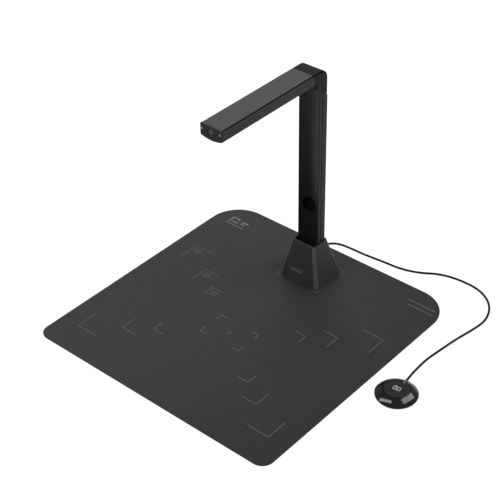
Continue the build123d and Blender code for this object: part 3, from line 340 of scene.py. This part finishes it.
def ink(name, level, patchy=0.15):
    """Screen-printed ink, a little uneven."""
    n = Nodes(name)
    cover = n.spread(n.noise(0.9, 3), 0, 1)
    n.link(n.mix(cover, grey(level * (1 - patchy)), grey(level * (1 + patchy))), "Base Color")
    n.link(n.spread(n.noise(2, 2), 0.45, 0.6), "Roughness")
    n.link(n.bump(n.noise(0.4, 2), 0.01), "Normal")
    return n.material


def light_pipe():
    """Milky clear plastic."""
    n = Nodes("light_pipe")
    n.link(n.mix(n.spread(n.noise(1.2, 2), 0, 1), grey(0.5), grey(0.72, 0.02)), "Base Color")
    n.link(n.spread(n.noise(0.8, 2), 0.22, 0.34), "Roughness")
    n.link(n.bump(n.noise(0.5, 2), 0.01), "Normal")
    n.shader.inputs["Transmission Weight"].default_value = 0.25
    return n.material


def window():
    """Dark tinted glass."""
    n = Nodes("window")
    cloud = n.spread(n.noise(9, 2), 0, 1)
    n.link(n.mix(cloud, (0.05, 0.05, 0.08), (0.08, 0.08, 0.12)), "Base Color")
    n.link(n.spread(n.noise(5, 2), 0.02, 0.05), "Roughness")
    n.link(n.bump(n.noise(12, 1), 0.004), "Normal")
    n.shader.inputs["Transmission Weight"].default_value = 0.8
    n.shader.inputs["IOR"].default_value = 1.5
    return n.material


# mm from the middle plane: a band on the sides of the head's top panel and corner block,
# painted near black as a painted shade for the shadow gap there.
GAP_SHADE_BAND = (20.3, 21.2)

MATERIALS = {
    "mat_sheet": mat_material(),
    # The base's diagonal cut corners are painted paler: a painted highlight.
    "base_plastic": plastic("base_plastic", 0.027, 0.5, specular=0.12, corner_highlight=2.3),
    "mast_plastic": plastic("mast_plastic", 0.007, 0.34, specular=0.11, edge_wear_and_highlight=1.0),
    # The head's plastics carry a painted shade band for the shadow gap at their sides.
    "head_plastic": plastic("head_plastic", 0.0075, 0.4, specular=0.05, gap_shade=GAP_SHADE_BAND),
    "panel": plastic("panel", 0.0305, 0.5, grain=0.25, depth=0.012, specular=0.25, edge_wear_and_highlight=1.1,
                     blotch=0.05, gap_shade=GAP_SHADE_BAND),
    "gloss_black": gloss("gloss_black", 0.004, specular=0.34),
    "cap_plastic": plastic("cap_plastic", 0.006, 0.34, grain=0.2, depth=0.006, specular=0.10,
                           blotch=0.06),
    "dark_plastic": plastic("dark_plastic", 0.002, 0.6, specular=0.05),
    "dark_metal": metal("dark_metal", 0.06, 0.4, (1, 1, 0.1)),
    "steel": metal("steel", 0.55, 0.3, (1, 1, 0.1)),
    "aluminium": metal("aluminium", 0.62, 0.35, (1, 1, 0.05)),
    "rubber": rubber("rubber", 0.010, 0.65),
    "cord": rubber("cord", 0.003, 0.5, 0.12),
    "board": board(),
    "ribbon": ribbon(),
    "print": ink("print", 0.30),
    "light_pipe": light_pipe(),
    "window": window(),
}
# Nodes whose finish differs from the rest of their slot.
OWN_MATERIALS = {
    "head_tub": plastic("tub_plastic", 0.016, 0.42, specular=0.10, edge_wear_and_highlight=1.5),
    "head_end_cap": plastic("end_cap_plastic", 0.006, 0.3, grain=0.2, depth=0.004,
                            specular=0.10, edge_wear_and_highlight=1.0),
    "end_lens": gloss("end_lens_gloss", 0.02, 0.1, 0.2),
    "end_lights": ink("end_light_tint", 0.10),
    "base_front_marks": ink("base_ink", 0.10),
    "mast_screws": metal("black_screw", 0.03, 0.45, (1, 1, 0.1)),
}
faint_ink = ink("faint_ink", 0.055)

for entry in frame["record"]["subparts"]:
    solid = bpy.data.objects[frame["nodes"][entry["node"]].name]
    solid.data.materials.clear()
    own = OWN_MATERIALS.get(entry["node"])
    solid.data.materials.append(own or MATERIALS[entry["material_slot"]])
cord.data.materials.append(MATERIALS["cord"])


# ---------------------------------------------------------------- flat print and small pieces

def add_piece(name, mesh, body, material):
    """Makes a visual piece that rides on a body."""
    piece = bpy.data.objects.new(name, mesh)
    scene.collection.objects.link(piece)
    piece.data.materials.append(material)
    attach(piece, body)


def plates(name, outlines, low, high):
    """One mesh of flat plates: each outline is a loop of (x, y) in mm, from low to high mm in z."""
    mesh = bmesh.new()
    for outline in outlines:
        bottom = [mesh.verts.new(Vector((x, y, low)) * MM) for x, y in outline]
        top = [mesh.verts.new(Vector((x, y, high)) * MM) for x, y in outline]
        mesh.faces.new(reversed(bottom))
        mesh.faces.new(top)
        for i in range(len(outline)):
            j = (i + 1) % len(outline)
            mesh.faces.new((bottom[i], bottom[j], top[j], top[i]))
    bmesh.ops.recalc_face_normals(mesh, faces=mesh.faces)
    data = bpy.data.meshes.new(name)
    mesh.to_mesh(data)
    mesh.free()
    return data


def bar(x0, y0, x1, y1):
    """A rectangle's corners, for plates."""
    return [(x0, y0), (x1, y0), (x1, y1), (x0, y1)]


def corner(x, y, toward_x, toward_y, arm, width):
    """An L whose outer corner is at x, y and whose arms run toward the given signs."""
    shape = [(0, 0), (arm, 0), (arm, width), (width, width), (width, arm), (0, arm)]
    loop = [(x + toward_x * u, y + toward_y * v) for u, v in shape]
    return loop if toward_x * toward_y > 0 else loop[::-1]


MAT_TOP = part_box("mat")[1].z / MM
INK_LOW, INK_HIGH = MAT_TOP - 0.1, MAT_TOP + 0.05
PAPER_Y = -47.0                       # mm, the middle of the paper sizes, under the lens
LINE = 1.3
# Long side, short side and arm of the corner marks, in mm: A3, A4, A5 and a card.
PAPERS = ((420, 297, 43), (297, 210, 31), (210, 148.5, 22), (85, 54, 14))

marks = []
for long_side, short_side, arm in PAPERS:
    for sx in (-1, 1):
        for sy in (-1, 1):
            marks.append(corner(sx * long_side / 2, PAPER_Y + sy * short_side / 2, -sx, -sy,
                                arm, LINE))


def page_icon(x, y, width, height, line=1.1):
    """A small sheet outline with two rows, its back-left corner at x, y."""
    yield bar(x, y - line, x + width, y)
    yield bar(x, y - height, x + width, y - height + line)
    yield bar(x, y - height + line, x + line, y - line)
    yield bar(x + width - line, y - height + line, x + width, y - line)
    yield bar(x + 2.6, y - 4.2, x + width - 2.6, y - 3.2)
    yield bar(x + 2.6, y - 6.8, x + width - 4.6, y - 5.8)


ICON_INSET = 7.0                      # mm, from a paper's back-left corner
for long_side, short_side, arm in PAPERS[:3]:
    marks += page_icon(-long_side / 2 + ICON_INSET, PAPER_Y + short_side / 2 - ICON_INSET, 13, 10)

# A small cross under the lens, its upright parted from the level arm.
CROSS_ARM, CROSS_HALF, CROSS_GAP = 4.0, 0.6, 0.9
marks += [bar(-CROSS_ARM, PAPER_Y - CROSS_HALF, CROSS_ARM, PAPER_Y + CROSS_HALF),
          bar(-CROSS_HALF, PAPER_Y + CROSS_GAP, CROSS_HALF, PAPER_Y + CROSS_ARM),
          bar(-CROSS_HALF, PAPER_Y - CROSS_ARM, CROSS_HALF, PAPER_Y - CROSS_GAP)]
# Two plain bars in the back-right corner.
marks += [bar(178, 215.6, 236, 217.4), bar(186, 204.4, 236, 206.2)]

# Corner marks round the base's foot.
base_low, base_high = (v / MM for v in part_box("base_shell"))
FOOTPRINT_GAP, FOOTPRINT_ARM, FOOTPRINT_LINE = 3.0, 9.0, 1.0
for sx, edge_x in ((-1, base_low.x), (1, base_high.x)):
    for sy, edge_y in ((-1, base_low.y), (1, base_high.y)):
        marks.append(corner(edge_x + sx * FOOTPRINT_GAP, edge_y + sy * FOOTPRINT_GAP, -sx, -sy,
                            FOOTPRINT_ARM, FOOTPRINT_LINE))

add_piece("mat_marks", plates("mat_marks", marks, INK_LOW, INK_HIGH), "stand", faint_ink)

# A plain emblem in the back-left corner: a camera arm over a sheet, two bars and a line below.
emblem = [
    bar(-217, 197, -214.4, 214), bar(-214.4, 211.4, -200, 214), bar(-203, 208, -200, 211.4),
    bar(-211.5, 199.5, -197, 202.2), bar(-193, 207.5, -178, 210.5), bar(-193, 201.5, -183, 204),
    bar(-222, 192.2, -178, 193.6),
]
add_piece("mat_emblem", plates("mat_emblem", emblem, INK_LOW, INK_HIGH), "stand",
          ink("emblem_ink", 0.12))


# ---------------------------------------------------------------- floor and light

FLOOR_HALF = 40000                    # mm, half the floor's side
FLOOR_THICK = 20                      # mm


def make_floor():
    """A plain pale floor that glows, so that no shadow shows on it."""
    outline = bar(-FLOOR_HALF, -FLOOR_HALF, FLOOR_HALF, FLOOR_HALF)
    data = plates("floor", [outline], -FLOOR_THICK, 0.0)
    floor = bpy.data.objects.new("floor", data)
    n = Nodes("floor")
    n.link(n.mix(n.spread(n.noise(400, 2), 0, 1), grey(0.06), grey(0.08)), "Base Color")
    n.shader.inputs["Roughness"].default_value = 0.9
    n.shader.inputs["Specular IOR Level"].default_value = 0.1
    n.shader.inputs["Emission Color"].default_value = (1, 1, 1, 1)
    n.shader.inputs["Emission Strength"].default_value = 1.0
    data.materials.append(n.material)
    scene.collection.objects.link(floor)


make_floor()


def softbox(name, azimuth, elevation, distance, width, height, radiance,
            target=(0, 0.05, 0.1), roll=0):
    """A rectangular light that looks at its target; azimuth is counted as for the camera.

    Angles are in degrees. A positive roll lifts the end that lies further round towards +X.
    """
    a, e = math.radians(azimuth), math.radians(elevation)
    away = Vector((math.sin(a) * math.cos(e), -math.cos(a) * math.cos(e), math.sin(e)))
    data = bpy.data.lights.new(name, "AREA")
    data.shape = "RECTANGLE"
    data.size = width
    data.size_y = height
    data.energy = radiance * math.pi * width * height
    lamp = bpy.data.objects.new(name, data)
    lamp.rotation_mode = "QUATERNION"
    lamp.rotation_quaternion = (away.to_track_quat("Z", "Y")
                                @ Quaternion((0, 0, 1), math.radians(roll)))
    lamp.location = Vector(target) + away * distance
    scene.collection.objects.link(lamp)


# The two long lights make the slanted highlights on the remote's ring.
softbox("left", azimuth=-28, elevation=49, distance=2.0, width=2.1, height=0.44, radiance=8.0,
        target=(-0.1, 0.0, 0.1), roll=35)
softbox("right", azimuth=125, elevation=45, distance=3.0, width=3.1, height=1.15, radiance=6.2,
        roll=-34)
softbox("back", azimuth=-148, elevation=52, distance=1.9, width=1.2, height=1.0, radiance=2.2,
        target=(-0.1, 0.05, 0.1))

SKY_LEVEL = 0.42
world = bpy.data.worlds.new("studio")
world.use_nodes = True
sky = world.node_tree.nodes["Background"].inputs
sky["Color"].default_value = (1, 1, 1, 1)
sky["Strength"].default_value = SKY_LEVEL
scene.world = world
scene.view_settings.view_transform = "Standard"
